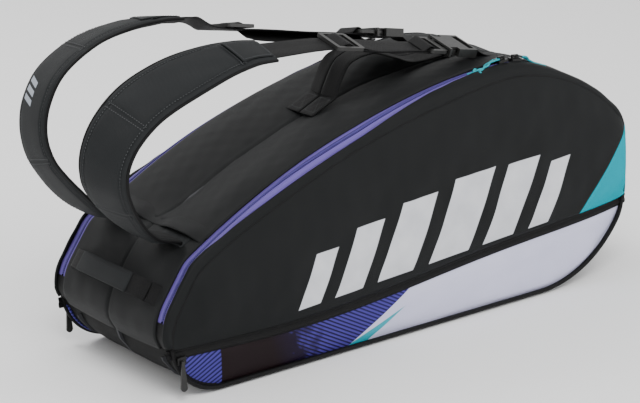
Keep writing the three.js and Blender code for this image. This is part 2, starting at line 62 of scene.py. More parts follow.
# The arcs of the bag's side view: centre x, z and radius.
CREST_ARC, BACK_ARC = (534.6, 47.7, 270.6), (587.0, -702.0, 1022.1)
SHOULDER_ARC, LOW_ARC = (75.4, 132.9, 43.0), (78.0, 77.4, 77.4)
ARCS = (  # each with the angles of its outward normal
    (589.2, 176.6, 176.6, 270, 360),
    (725.8, 176.6, 40.0, 360, 394),
    (*CREST_ARC, 394, 454),
    (*BACK_ARC, 454, 481.5),
    (*SHOULDER_ARC, 481.5, 505),
    (*LOW_ARC, 505, 630),
)
PANEL_DEPTH = 4.5  # foam-backed fabric
PIPING, PIPING_LIFT = 2.9, 2.4  # the piping's radius, and its middle over the edge
WEB_WIDTH = 38  # the straps' webbing
HANDLE_WIDTH, HANDLE_Y = 26, 14.5  # the carry handles' webbing, and each one's distance from the middle
ROOT_Y, BUCKLE_Y = 60, 57.0  # the straps' roots and buckles, from the middle
ZIP_Y = 112.0  # the main zips over the crest, from the middle


def bag(p):
    """A point in millimetres from the low end, in the row frame's metres."""
    p = np.asarray(p, float)
    return (p - np.array((LENGTH / 2, 0, 0))) * 0.001


def smooth(t):
    t = np.clip(t, 0, 1)
    return t * t * (3 - 2 * t)


def width_at(x):
    """The bag narrows evenly towards the nose."""
    return 1 - TAPER * np.asarray(x) / LENGTH


def split_at(x):
    """The pocket line's height: nearly level along the low end's half, then rising to the nose."""
    return SPLIT(np.clip(np.asarray(x, float), 0, 752))


def along(table, x):
    """A length that changes smoothly along the bag."""
    xs, values = np.array(table, float).T
    x = np.asarray(x, float)
    return sum(np.interp(x + d, xs, values) for d in (-24, -12, 0, 12, 24)) / 5


def blunt(x):
    """The nose ends flat."""
    return np.where(x > 722, 722 + 17 * np.tanh((x - 722) / 17), x)


def run_along(line):
    """Each point's distance from the first along a line."""
    return np.r_[0, np.cumsum(np.linalg.norm(np.diff(line, axis=0), axis=1))]


def sample(at, run, points):
    """Points at distances at along a line."""
    return np.stack([np.interp(at, run, column) for column in points.T], 1)


def unit(rows):
    return rows / np.linalg.norm(rows, axis=1)[:, None]


def outline(step):
    """Points round the bag's side view: place, outward normal and distance run."""
    place, normal = [], []

    def add(a, cx, cz, r):
        n = (math.cos(math.radians(a)), math.sin(math.radians(a)))
        place.append((cx + r * n[0], cz + r * n[1]))
        normal.append(n)

    for i, (cx, cz, r, a0, a1) in enumerate(ARCS):
        steps = max(3, int(r * math.radians(a1 - a0) / step))
        for k in range(steps + 1):
            add(a0 + (a1 - a0) * k / steps, cx, cz, r)
        nx, nz = normal[-1]
        following = ARCS[(i + 1) % len(ARCS)]
        goal = (following[0] + following[2] * nx, following[1] + following[2] * nz)
        gap = math.dist(goal, place[-1])
        start = place[-1]
        for k in range(1, int(gap / step)):
            f = k / int(gap / step)
            place.append((start[0] + (goal[0] - start[0]) * f, start[1] + (goal[1] - start[1]) * f))
            normal.append((nx, nz))
    place, normal = np.array(place), np.array(normal)
    keep = np.r_[True, np.linalg.norm(np.diff(place, axis=0), axis=1) > 0.3 * step]
    place, normal = place[keep], normal[keep]
    return place, normal, run_along(place)


PLACE, NORMAL, RUN = outline(5.0)
TOTAL = RUN[-1] + np.linalg.norm(PLACE[0] - PLACE[-1])


def at_run(s):
    """Places and normals at distances s round the outline."""
    s = np.mod(np.asarray(s, float), TOTAL)
    run = np.r_[RUN, TOTAL]
    return sample(s, run, np.vstack([PLACE, PLACE[:1]])), unit(sample(s, run, np.vstack([NORMAL, NORMAL[:1]])))


def over(s, c, lift=0.0):
    """The point over the outline at distance s, c across the back (negative is near), lift above the fabric."""
    s, c, lift = np.broadcast_arrays(np.asarray(s, float), np.asarray(c, float), np.asarray(lift, float))
    shape = s.shape
    s, c, lift = s.ravel(), c.ravel(), lift.ravel()
    p, n = at_run(s)
    top = smooth((n[:, 1] + 0.4) / 0.5)  # the bottom keeps its plain edge
    flat = 112 + (along(FLAT, p[:, 0]) - 112) * top
    sunk = along(SUNK, p[:, 0]) * top + 22 * (1 - top) * smooth((100 - p[:, 0]) / 60)
    drop = 14 + (along(DROP, p[:, 0]) - 14) * top - sunk
    turn = np.clip((np.abs(c) - flat) / (EDGE - flat), 0, 1) * math.pi / 2
    soft = 0.65 + 0.35 * n[:, 1]
    out = -(sunk + drop * (1 - np.cos(turn))) * soft + lift * np.cos(turn)
    y = np.minimum(np.abs(c), flat) + (HALF_WIDTH - flat) * np.sin(turn) + lift * np.sin(turn)
    x, z = p[:, 0] + n[:, 0] * out, p[:, 1] + n[:, 1] * out
    return np.stack([blunt(x), np.sign(c) * y * width_at(x), z], 1).reshape(shape + (3,))


def crossing(low_end):
    """Distance round the outline where the side's edge meets the pocket line, at the low end or at the nose."""
    edge = over(RUN, np.full(len(RUN), -EDGE))
    above = edge[:, 2] > split_at(edge[:, 0])
    change = [i for i in range(len(RUN) - 1) if above[i] != above[i + 1]]
    picked = [i for i in change if (edge[i, 0] < 300) == low_end][0]
    return RUN[picked] + 2.5


S_NOSE, S_LOW = crossing(False), crossing(True)


def run_at_x(x):
    """Distance round the outline where the back is at x."""
    mask = NORMAL[:, 1] > 0.3
    i = np.argmin(np.abs(PLACE[mask][:, 0] - x))
    return RUN[mask][i]


S_HEM = run_at_x(80)  # the seam across the bag between the end panel and the back panel
S_NOSE_SEAM = run_at_x(600)


def ripple(u, v, seed, size=60.0):
    """Soft folds: a few waves of different lengths and directions, about -1 to 1."""
    rng = np.random.default_rng(seed)
    total = 0
    for k in range(7):
        a, f, ph = rng.uniform(0, math.pi), rng.uniform(0.6, 2.2) / size, rng.uniform(0, 6.28)
        total = total + np.sin((u * math.cos(a) + v * math.sin(a)) * f * 2 * math.pi + ph) / (1 + 0.35 * k)
    return total / 2.6


# ---------------------------------------------------------------- meshes
def mesh_object(name, points, faces, material, uvs=None):
    m = bpy.data.meshes.new(name)
    m.from_pydata([tuple(p) for p in bag(points)], [], faces)
    if uvs is not None:
        layer = m.uv_layers.new(name="UVMap")
        loops = np.empty(len(m.loops), np.int32)
        m.loops.foreach_get("vertex_index", loops)
        layer.data.foreach_set("uv", (np.asarray(uvs)[loops] * 0.001).astype(np.float32).ravel())
    m.shade_smooth()
    o = bpy.data.objects.new(name, m)
    scene.collection.objects.link(o)
    m.materials.append(material)
    return o


def sheet_mesh(name, grid, material, uv=None, thick=0.0, flip=False, wrap=False):
    """A grid of points as a surface; thick gives it depth on the side that its faces turn from."""
    rows, cols = grid.shape[:2]
    index = np.arange(rows * cols).reshape(rows, cols)
    if wrap:
        index = np.hstack([index, index[:, :1]])
    a, b, c, d = index[:-1, :-1], index[1:, :-1], index[1:, 1:], index[:-1, 1:]
    faces = np.stack([a, d, c, b] if flip else [a, b, c, d], -1).reshape(-1, 4)
    if uv is None:
        u, v = run_along(grid[:, cols // 2]), run_along(grid[rows // 2])
        uv = np.stack(np.meshgrid(u, v, indexing="ij"), -1)
    o = mesh_object(name, grid.reshape(-1, 3), [tuple(map(int, f)) for f in faces], material, uv.reshape(-1, 2))
    if thick:
        s = o.modifiers.new("depth", "SOLIDIFY")
        s.thickness, s.offset = thick * 0.001, -1
        s.use_even_offset = False
    return o


def curve_points(points, n):
    """n points evenly along a smooth line through points."""
    p = np.asarray(points, float)
    p = np.vstack([2 * p[0] - p[1], p, 2 * p[-1] - p[-2]])
    fine = []
    for i in range(1, len(p) - 2):
        for t in np.linspace(0, 1, 24, endpoint=False):
            a, b, c, d = p[i - 1 : i + 3]
            square, cube = 2 * a - 5 * b + 4 * c - d, 3 * b - a - 3 * c + d
            fine.append(0.5 * (2 * b + (c - a) * t + square * t**2 + cube * t**3))
    fine.append(p[-2])
    fine = np.array(fine)
    run = run_along(fine)
    return sample(np.linspace(0, run[-1], n), run, fine)


def tangents(line):
    return unit(np.gradient(line, axis=0))


def tube_mesh(name, line, radius, material, sides=10, up=(0, 1, 0)):
    """A round tube along a line."""
    line = np.asarray(line, float)
    t = tangents(line)
    n = np.cross(t, np.asarray(up, float))
    n[np.linalg.norm(n, axis=1) < 1e-6] = (0, 1, 0)
    n = unit(n)
    b = np.cross(t, n)
    a = np.linspace(0, 2 * math.pi, sides, endpoint=False)
    grid = line[:, None] + radius * (np.cos(a)[None, :, None] * n[:, None] + np.sin(a)[None, :, None] * b[:, None])
    rows, cols = grid.shape[:2]
    faces = []
    for i in range(rows - 1):
        for j in range(cols):
            k = (j + 1) % cols
            faces.append((i * cols + j, i * cols + k, (i + 1) * cols + k, (i + 1) * cols + j))
    faces.append(tuple(range(cols - 1, -1, -1)))
    faces.append(tuple((rows - 1) * cols + j for j in range(cols)))
    uv = np.stack(np.meshgrid(run_along(line), a * radius, indexing="ij"), -1).reshape(-1, 2)
    return mesh_object(name, grid.reshape(-1, 3), faces, material, uv)


def frames(line, turn):
    """Across and up directions along a band, turned about it by turn degrees: positive drops the far edge on top."""
    t = tangents(line)
    a = np.radians(np.broadcast_to(np.asarray(turn, float), (len(line),)))[:, None]
    flat = unit(np.array((0.0, 1.0, 0.0)) - t * t[:, 1:2])
    across = flat * np.cos(a) - np.cross(t, flat) * np.sin(a)
    return t, across, np.cross(t, across)


def band_mesh(name, line, width, thick, material, lean=0.0, across=None, wave=0.0, seed=1):
    """Webbing: a flat band along line with rounded edges, lean degrees about it or lying along across."""
    t, a, up = frames(line, lean)
    if across is not None:
        a = np.broadcast_to(np.asarray(across, float), t.shape)
        a = unit(a - t * (a * t).sum(1)[:, None])
        up = np.cross(t, a)
    section = [(-1, -0.45), (-1, 0.45), (-0.96, 1), (-0.5, 1), (0, 1), (0.5, 1), (0.96, 1), (1, 0.45), (1, -0.45),
               (0.96, -1), (0.5, -1), (0, -1), (-0.5, -1), (-0.96, -1)]
    run = run_along(line)
    grid, uv = [], []
    for y, z in section:
        off = thick / 2 * z + wave * np.sin(run / 17.0 + 2.0 * y + seed) * (0.4 + 0.6 * abs(y))
        grid.append(line + a * (width * y / 2) + up * off[:, None])
        uv.append(np.stack([run, np.full_like(run, y) * width / 2], 1))
    o = sheet_mesh(name, np.stack(grid, 1), material, np.stack(uv, 1), wrap=True)
    m = o.data
    cols = len(section)
    bm = bmesh.new()
    bm.from_mesh(m)
    bm.verts.ensure_lookup_table()
    bm.faces.new([bm.verts[j] for j in range(cols)])
    bm.faces.new([bm.verts[(len(line) - 1) * cols + j] for j in range(cols - 1, -1, -1)])
    bmesh.ops.recalc_face_normals(bm, faces=bm.faces)
    bm.to_mesh(m)
    bm.free()
    m.shade_smooth()
    return o


def stitches(name, line, up, material, pitch=4.2, size=(2.6, 0.55, 0.4)):
    """Thread along a seam: short raised dashes along line, standing along up."""
    line, up = np.asarray(line, float), np.asarray(up, float)
    run = run_along(line)
    at = np.arange(pitch / 2, run[-1], pitch)
    p, t = sample(at, run, line), unit(sample(at, run, tangents(line)))
    u = sample(at, run, np.broadcast_to(up, line.shape))
    u = unit(u - t * (u * t).sum(1)[:, None])
    s = np.cross(t, u)
    points, faces = [], []
    shape = [(-1, 0, 0), (-0.55, -1, 0.1), (0.55, -1, 0.1), (1, 0, 0), (0.55, 1, 0.1), (-0.55, 1, 0.1),
             (-0.6, 0, 1), (0.6, 0, 1)]
    quads = [(0, 1, 6), (1, 2, 7, 6), (2, 3, 7), (3, 4, 7), (4, 5, 6, 7), (5, 0, 6)]
    for i in range(len(p)):
        base = len(points)
        for x, y, z in shape:
            points.append(p[i] + t[i] * x * size[0] / 2 + s[i] * y * size[1] + u[i] * z * size[2])
        faces += [tuple(base + k for k in q) for q in quads]
    return mesh_object(name, np.array(points), faces, material)


def join(name, objects):
    """Several meshes as one named piece."""
    first = objects[0]
    with bpy.context.temp_override(active_object=first, object=first, selected_objects=objects,
                                   selected_editable_objects=objects):
        bpy.ops.object.join()
    first.name = name
    first.data.name = name
    return first


def attach(piece, body, node=None):
    """piece moves with body; it stands for node, which is hidden."""
    if node:
        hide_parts(node)
    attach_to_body(piece, body)


# ---------------------------------------------------------------- materials
class Node:
    """A value in a shader's node tree that adds, multiplies and compares."""

    def __init__(self, tree, socket):
        self.tree, self.socket = tree, socket

    def op(self, kind, other=None, third=None):
        n = self.tree.nodes.new("ShaderNodeMath")
        n.operation = kind
        for i, v in enumerate((self, other, third)):
            if isinstance(v, Node):
                self.tree.links.new(v.socket, n.inputs[i])
            elif v is not None:
                n.inputs[i].default_value = float(v)
        return Node(self.tree, n.outputs[0])

    def __add__(self, o): return self.op("ADD", o)
    def __sub__(self, o): return self.op("SUBTRACT", o)
    def __mul__(self, o): return self.op("MULTIPLY", o)
    def __truediv__(self, o): return self.op("DIVIDE", o)
    def sin(self): return self.op("SINE")
    def abs(self): return self.op("ABSOLUTE")
    def fract(self): return self.op("FRACT")
    def high(self, o): return self.op("MAXIMUM", o)
    def clamped(self): return self.high(0).op("MINIMUM", 1)

    def below(self, edge, soft=0.4):
        """1 where this is below edge, 0 above, with a soft step."""
        return ((self * -1 + edge) / soft + 0.5).clamped()

    def above(self, edge, soft=0.4):
        return ((self - edge) / soft + 0.5).clamped()

    def between(self, a, b, soft=0.4):
        return self.above(a, soft) * self.below(b, soft)


def new_material(name):
    m = bpy.data.materials.new(name)
    m.use_nodes = True
    t = m.node_tree
    return m, t, t.nodes["Principled BSDF"]


def coordinates(t):
    """Millimetre coordinates: u, v along the fabric, and x, z of the bag's side view; then the object's own."""
    uv = t.nodes.new("ShaderNodeUVMap")
    s = t.nodes.new("ShaderNodeSeparateXYZ")
    t.links.new(uv.outputs[0], s.inputs[0])
    tc = t.nodes.new("ShaderNodeTexCoord")
    o = t.nodes.new("ShaderNodeSeparateXYZ")
    t.links.new(tc.outputs["Object"], o.inputs[0])
    u, v = Node(t, s.outputs[0]) * 1000, Node(t, s.outputs[1]) * 1000
    x, z = Node(t, o.outputs[0]) * 1000 + LENGTH / 2, Node(t, o.outputs[2]) * 1000
    return u, v, x, z, tc.outputs["Object"]


def set_inputs(shader, **values):
    for name, value in values.items():
        shader.inputs[name.replace("_", " ")].default_value = value


def noise(t, scale, detail=3.0, coordinate=None, rough=0.5):
    n = t.nodes.new("ShaderNodeTexNoise")
    n.inputs["Scale"].default_value = scale
    n.inputs["Detail"].default_value = detail
    n.inputs["Roughness"].default_value = rough
    if coordinate is not None:
        t.links.new(coordinate, n.inputs["Vector"])
    return Node(t, n.outputs[0])


def bump(t, shader, height, distance, strength=1.0, before=None):
    b = t.nodes.new("ShaderNodeBump")
    b.inputs["Distance"].default_value = distance
    b.inputs["Strength"].default_value = strength
    t.links.new(height.socket, b.inputs["Height"])
    if before is not None:
        t.links.new(before.outputs[0], b.inputs["Normal"])
    t.links.new(b.outputs[0], shader.inputs["Normal"])
    return b


def blend_colour(t, low, high, factor):
    """low where factor is 0, high where it is 1; each a colour or another blend's output."""
    m = t.nodes.new("ShaderNodeMix")
    m.data_type = "RGBA"
    t.links.new(factor.socket, m.inputs[0])
    for value, socket in ((low, m.inputs[6]), (high, m.inputs[7])):
        if isinstance(value, tuple):
            socket.default_value = value + (1,)
        else:
            t.links.new(value, socket)
    return m.outputs[2]


def weave(u, v, pitch):
    """Over and under of a plain weave."""
    k = 2 * math.pi / pitch
    return (u * k).sin() * (v * k).sin()


def cloth_bump(t, s, u, v, place, folds, fold, pitch, depth):
    """Slow folds with the weave on them."""
    first = bump(t, s, noise(t, folds, 3, place, 0.45), fold, 0.6)
    bump(t, s, weave(u, v, pitch), depth, 1.0, first)


def fabric(name, colour, rough, pitch, depth, specular, fold=0.0006):
    m, t, s = new_material(name)
    u, v, *_, place = coordinates(t)
    patch = noise(t, 14, 4, place)
    fleck = noise(t, 900, 2, place)
    tone = 0.18
    light = tuple(min(1, c * (1 + 1.6 * tone) + 0.002) for c in colour)
    dark = tuple(c * (1 - tone) for c in colour)
    t.links.new(blend_colour(t, dark, light, patch * 0.55 + fleck * 0.45), s.inputs["Base Color"])
    set_inputs(s, Roughness=rough, Specular_IOR_Level=specular)
    cloth_bump(t, s, u, v, place, 26, fold, pitch, depth)
    return m


def hard(name, colour, rough, metallic=0.0, scale=220):
    """Moulded plastic, metal or thread, a little worn in spots."""
    m, t, s = new_material(name)
    tc = t.nodes.new("ShaderNodeTexCoord")
    n = noise(t, scale, 4, tc.outputs["Object"])
    worn = tuple(min(1, c * 1.8 + 0.01) for c in colour)
    t.links.new(blend_colour(t, colour, worn, n * n), s.inputs["Base Color"])
    r = n * 0.18 + (rough - 0.09)
    t.links.new(r.socket, s.inputs["Roughness"])
    set_inputs(s, Metallic=metallic, Specular_IOR_Level=0.35)
    bump(t, s, n, 0.00008, 0.6)
    return m


CYAN, BROWN = (0.0, 0.27, 0.34), (0.0085, 0.0045, 0.0055)


def side_print():
    """Near-black coated fabric with slanted silver bars and a cyan corner at the nose."""
    m, t, s = new_material("side_fabric")
    u, v, x, z, place = coordinates(t)
    patch = noise(t, 12, 4, place)
    ground = blend_colour(t, (0.0042, 0.0048, 0.005), (0.0075, 0.0083, 0.0087), patch)
    level = z - x * 0.062  # height over the pocket line's slope
    slant = x - level * 0.42
    bars = reduce(Node.high, (slant.between(left, right, 0.8) * level.between(62, top, 0.8) for left, right, top in (
        (166, 200, 128), (222, 266, 144), (290, 346, 156), (372, 438, 164), (462, 514, 160), (540, 574, 146))))
    shade = blend_colour(t, (0.44, 0.45, 0.48), (0.66, 0.67, 0.70), noise(t, 30, 3, place))
    corner = (x - z * 0.76).above(583, 0.8)
    colour = blend_colour(t, ground, shade, bars)
    colour = blend_colour(t, colour, CYAN, corner)
    t.links.new(colour, s.inputs["Base Color"])
    t.links.new((bars.high(corner) * -0.12 + 0.50).socket, s.inputs["Roughness"])
    t.links.new((bars * 0.25 + corner * -0.12 + 0.12).socket, s.inputs["Specular IOR Level"])
    cloth_bump(t, s, u, v, place, 18, 0.0012, 1.3, 0.00007)
    return m


def pocket_print():
    """Silver satin with a purple corner block, a dark fade and purple slanted dashes."""
    m, t, s = new_material("pocket_fabric")
    u, v, x, z, place = coordinates(t)
    silver = blend_colour(t, (0.44, 0.44, 0.60), (0.58, 0.58, 0.74), noise(t, 10, 3, place))
    fine = ((x * 0.55 + z) * (1 / 5.2)).fract()
    thick_line = ((x * -0.5 + z) * (1 / 5.6)).fract()
    # printed part: brown-black ground, purple ink that thickens to the right
    ink = ((x + z * 0.3 - 165) * (1 / 150)).clamped()
    broken = noise(t, 60, 2, place)
    dashes = fine.below(0.55, 0.2) * (ink + broken * 0.7).above(0.72, 0.25)
    ground = blend_colour(t, BROWN, (0.012, 0.009, 0.055), ink)
    printed = blend_colour(t, ground, (0.052, 0.040, 0.24), dashes)
    block = x.below(80, 0.8)
    stripes = thick_line.below(0.42, 0.15)
    blocked = blend_colour(t, (0.052, 0.042, 0.235), (0.006, 0.005, 0.045), stripes)
    printed = blend_colour(t, printed, blocked, block)
    # boundary of the silver part: a slant that steepens upwards
    edge = x - (z * 1.8 + 264)
    silver_mask = edge.above(0, 0.8)
    sliver = edge.between(0, 30, 0.8) * (z - (x - 262) * 0.36).below(2, 0.8)
    colour = blend_colour(t, printed, silver, silver_mask)
    colour = blend_colour(t, colour, CYAN, sliver)
    t.links.new(colour, s.inputs["Base Color"])
    t.links.new((silver_mask * -0.1 + 0.48).socket, s.inputs["Roughness"])
    t.links.new((silver_mask * 0.4 + 0.1).socket, s.inputs["Specular IOR Level"])
    cloth_bump(t, s, u, v, place, 16, 0.001, 1.3, 0.00006)
    return m


def webbing_material(name, colour):
    """Woven webbing: slanted ribs over the warp, their colour painted lighter on top and darker between them as
    light and shade.
    """
    m, t, s = new_material(name)
    u, v, *_ = coordinates(t)
    rib = ((u + v.abs() * 0.7) * (2 * math.pi / 2.4)).sin()
    warp = (v * (2 * math.pi / 1.9)).sin()
    height = rib * 0.6 + warp * 0.4
    # painted light and shade: the ribs' tops lighter, the grooves between them darker
    rib_light_and_shade = blend_colour(t, tuple(c * 0.6 for c in colour), tuple(c * 2.2 for c in colour), height * 0.5 + 0.5)
    t.links.new(rib_light_and_shade, s.inputs["Base Color"])
    set_inputs(s, Roughness=0.62, Specular_IOR_Level=0.16)
    bump(t, s, height, 0.0003)
    return m


def tape_material():
    """Purple woven zip tape: fine ribs along it, painted lighter on their tops and darker between them as light and
    shade.
    """
    m, t, s = new_material("zip_purple")
    u, v, *_ = coordinates(t)
    rib = (v * (2 * math.pi / 1.3)).sin() * 0.6 + (u * (2 * math.pi / 1.1)).sin() * 0.4
    # painted light on the ribs' tops and painted shade between them
    t.links.new(blend_colour(t, (0.070, 0.046, 0.23), (0.17, 0.122, 0.44), rib * 0.5 + 0.5), s.inputs["Base Color"])
    set_inputs(s, Roughness=0.55, Specular_IOR_Level=0.35)
    bump(t, s, rib, 0.00015)
    return m


def mesh_material(name, colour):
    """Spacer mesh: rows of small round holes, painted dark inside as shade."""
    m, t, s = new_material(name)
    u, v, *_ = coordinates(t)
    k = 2 * math.pi / 3.2
    holes = ((u * k).sin() * ((v * k).sin())).above(0.25, 0.5)
    # painted shade in the holes
    t.links.new(blend_colour(t, colour, tuple(c * 0.25 for c in colour), holes), s.inputs["Base Color"])
    set_inputs(s, Roughness=0.8, Specular_IOR_Level=0.2)
    bump(t, s, holes, 0.0005, 1.0).invert = True
    return m


def cord_material(name, colour):
    """Braided cord, painted darker between its strands as shade."""
    m, t, s = new_material(name)
    u, v, *_ = coordinates(t)
    a = ((u * 0.9 + v * 1.1) * (2 * math.pi / 1.6)).sin()
    b = ((u * 0.9 - v * 1.1) * (2 * math.pi / 1.6)).sin()
    braid = a.high(b)
    # painted shade between the strands
    t.links.new(blend_colour(t, tuple(c * 0.55 for c in colour), colour, braid * 0.5 + 0.5), s.inputs["Base Color"])
    set_inputs(s, Roughness=0.6)
    bump(t, s, braid, 0.0003)
    return m


def marked_strap():
    """The strap's cloth with three small slanted silver bars printed near its outer edge."""
    m = strap_cloth.copy()
    m.name = "strap_fabric_marked"
    t = m.node_tree
    s = t.nodes["Principled BSDF"]
    u, v, *_ = coordinates(t)
    slant = u - v * 0.35
    bars = reduce(Node.high, (slant.between(left, right, 0.6) * v.between(2, 24, 0.6)
                              for left, right in ((196, 203), (207, 214), (218, 225))))
    plain = s.inputs["Base Color"].links[0].from_socket
    t.links.new(blend_colour(t, plain, (0.34, 0.37, 0.42), bars), s.inputs["Base Color"])
    return m


shell = fabric("shell_fabric", (0.0072, 0.0078, 0.0082), 0.56, 1.7, 0.00014, 0.15)
strap_cloth = fabric("strap_fabric", (0.0105, 0.0118, 0.0127), 0.6, 2.0, 0.0002, 0.16)
marked_cloth = marked_strap()
side_cloth = side_print()
pocket_cloth = pocket_print()
trim = fabric("black_trim", (0.0022, 0.0022, 0.0024), 0.5, 1.2, 0.0001, 0.14, fold=0.0002)
bottom_cloth = fabric("bottom_fabric", (0.0035, 0.0036, 0.0038), 0.62, 1.8, 0.0002, 0.12)
lining = fabric("lining", (0.045, 0.046, 0.05), 0.75, 1.4, 0.0001, 0.2)
purple = tape_material()
webbing = webbing_material("webbing", (0.0042, 0.0042, 0.0044))
spacer = mesh_material("spacer_mesh", (0.012, 0.0125, 0.013))
plastic = hard("black_plastic", (0.008, 0.008, 0.0075), 0.36)
metal = hard("black_metal", (0.012, 0.012, 0.012), 0.3, 0.7, 400)
coil = hard("zip_coil", (0.045, 0.032, 0.17), 0.45)
cyan = cord_material("cyan_cord", (0.0, 0.42, 0.50))
thread = hard("thread", (0.03, 0.032, 0.034), 0.6)

# ---------------------------------------------------------------- zip lines
def zip_at(x):
    """How far across the main zips run: wide at the low end, drawing in over the top of the bag."""
    x = np.asarray(x, float)
    return np.interp(x, (0, 70, 150, 300, 380, 460, 545, 760), (116.5, 116.5, 118, 119, 116, 112.5, 112, 112))


TAPE_WIDTH = ((0, 9.5), (150, 9), (300, 7.5), (420, 6), (540, 4.5), (760, 4.5))  # x, how much of a tape shows
ZIP_SPAN = (S_NOSE + 60, S_LOW - 30)  # the main zips run between these distances


def zip_x(s):
    """x at distances s round the outline."""
    return at_run(np.atleast_1d(s))[0][:, 0]


def sag(s, c):
    """The back panel's fill: each half is full between its seams, and its middle sinks a little over the crest."""
    x = zip_x(np.ravel(s)).reshape(np.shape(s))
    half = np.abs(c) / 110
    full = np.interp(x, (30, 130), (1.4, 3.2)) * (1 - np.abs(2 * half - 1) ** 2.6) * smooth(half * 6)
    valley = np.interp(x, (60, 130, 450, 560, 700), (0, 8, 8, 10, 3))
    return full - valley * np.exp(-((c / 48) ** 2))


def panel_grid(s0, s1, c0, c1, step, cols, lift=0.0, bow=None):
    """A panel over the outline from s0 to s1 and across from c0 to c1, which may change with x."""
    rows = max(4, int(abs(s1 - s0) / step))
    s = np.linspace(s0, s1, rows)
    c = np.linspace(0, 1, cols)
    low = c0(zip_x(s)) if callable(c0) else np.full(rows, float(c0))
    high = c1(zip_x(s)) if callable(c1) else np.full(rows, float(c1))
    grid_s = np.repeat(s[:, None], cols, 1)
    grid_c = low[:, None] + (high - low)[:, None] * c[None]
    if bow:
        grid_s = grid_s + bow(grid_s, grid_c)
    h = lift(grid_s, grid_c) if callable(lift) else lift
    return over(grid_s, grid_c, h), np.stack([grid_s, grid_c], -1)


def gusset(name, s0, s1, seed, bow=None):
    """A panel of the bag's back between the two zips, full on each side of its middle seam."""
    def lift(s, c):
        ends = smooth(np.minimum(np.abs(s - s0), np.abs(s - s1)) / 25)
        folds = ripple(s, c * 1.3, seed, 120) * 1.5 + ripple(s, c, seed + 5, 45) * 0.45
        edge = smooth((110 - np.abs(c)) / 25)
        seam = -2.2 * np.exp(-((c / 2.2) ** 2))
        return sag(s, c) * (0.2 + 0.8 * ends) + folds * edge * ends + seam

    def side(x):
        return zip_at(x) - along(TAPE_WIDTH, x)

    grid, uv = panel_grid(s0, s1, lambda x: -side(x), side, 6.0, 57, lift, bow)
    return sheet_mesh(name, grid, shell, uv, PANEL_DEPTH)


def low_seam(s, c):
    """The seam under the end panel bows down between its corners."""
    return 8 * (1 - np.minimum(np.abs(c) / 120, 1) ** 2) * smooth(1 - np.abs(s - S_LOW) / 70)


back = gusset("back_panel_fabric", S_NOSE_SEAM, S_HEM, 3)
end = gusset("end_panel_fabric", S_HEM + 1, S_LOW + 1, 11, bow=low_seam)
nose = gusset("nose_panel_fabric", S_NOSE + 2, S_NOSE_SEAM - 1, 21)
for piece, node in ((back, "back_panel"), (end, "end_panel"), (nose, "nose_panel")):
    attach(piece, "bag", node)


def bottom():
    """The bottom panel wraps from the low end's seam under the bag and up to the nose's seam."""
    def lift(s, c):
        x = zip_x(s.ravel()).reshape(s.shape)
        flat = smooth((x - 60) / 60) * smooth((600 - x) / 60)
        return (1.5 + ripple(s, c, 31, 90) * 0.8) * (1 - flat) * (1 - (np.abs(c) / 112).clip(0, 1) ** 3)

    grid, uv = panel_grid(S_LOW + 3, S_NOSE + TOTAL - 2, -EDGE + 0.4, EDGE - 0.4, 7.0, 45, lift, low_seam)
    return sheet_mesh("bottom_fabric", grid, bottom_cloth, uv, PANEL_DEPTH, flip=True)


attach(bottom(), "bag", "base_panel")


# ---------------------------------------------------------------- side panels
def side_face(name, sign, upper, material, seed, full, thick):
    """The fabric between the piping and the pocket line, bulging by full in the middle."""
    if upper:
        s = np.linspace(S_NOSE + 2, S_LOW - 2, 230)
    else:
        s = np.linspace(S_LOW + 15, S_NOSE + TOTAL - 15, 210)
    rim = over(s, np.full(len(s), -EDGE), 0 if upper else -2.5)
    x0, x1 = rim[0, 0], rim[-1, 0]
    run = run_along(rim)
    f = run / run[-1]
    target = np.clip((rim[:, 0] - x0) / (x1 - x0), 0, 1)
    f = np.sort(0.25 * f + 0.75 * np.maximum.accumulate(target))
    line_x = x0 + (x1 - x0) * f
    line_z = split_at(line_x) + (0.6 if upper else -14.0)
    line = np.stack([line_x, -HALF_WIDTH * width_at(line_x), line_z], 1)
    cols = 44
    v = smooth(np.linspace(0, 1, cols)) * 0.35 + np.linspace(0, 1, cols) * 0.65
    grid = line[:, None] + (rim - line)[:, None] * v[None, :, None]
    depth = np.linalg.norm(rim - line, axis=1)
    bulge = (1 - np.abs(2 * v - 1) ** 2.8)[None] * smooth(depth / 110)[:, None] * full
    ends = smooth(np.minimum(run, run[-1] - run) / 30)[:, None]
    lx, lz = grid[..., 0], grid[..., 2]
    edge = smooth(v / 0.12) * smooth((1 - v) / 0.12)
    folds = (ripple(lx, lz * 1.6, seed, 160) * 1.3 + ripple(lx, lz, seed + 3, 55) * 0.4) * edge[None] * ends
    uv = np.stack([lx, lz], -1)
    grid[..., 1] -= bulge + folds
    if sign > 0:
        grid[..., 1] *= -1
    return sheet_mesh(name, grid, material, uv, thick, flip=(sign > 0) != (not upper))


def edge_strip(name, sign):
    """The narrow strip over the bag's edge, from the zip tape out to the piping."""
    def lift(s, c):
        return 1.6 * np.sin(np.clip((np.abs(c) - 120) / 14, 0, 1) * math.pi) + ripple(s, c * 2, 41, 70) * 0.5

    def inner(x):
        return sign * (zip_at(x) + along(TAPE_WIDTH, x))

    grid, uv = panel_grid(S_NOSE + 3, S_LOW - 3, inner, sign * (EDGE - 1), 6.0, 14, lift)
    return sheet_mesh(name, grid, side_cloth, uv, PANEL_DEPTH, flip=sign < 0)


def piping(name, sign, s0, s1, count, body, node):
    """The covered cord round a panel, on its sewn flange."""
    line = over(np.linspace(s0, s1, count), np.full(count, sign * EDGE), PIPING_LIFT)
    attach(tube_mesh(name, line, PIPING, trim, 12), body, node)


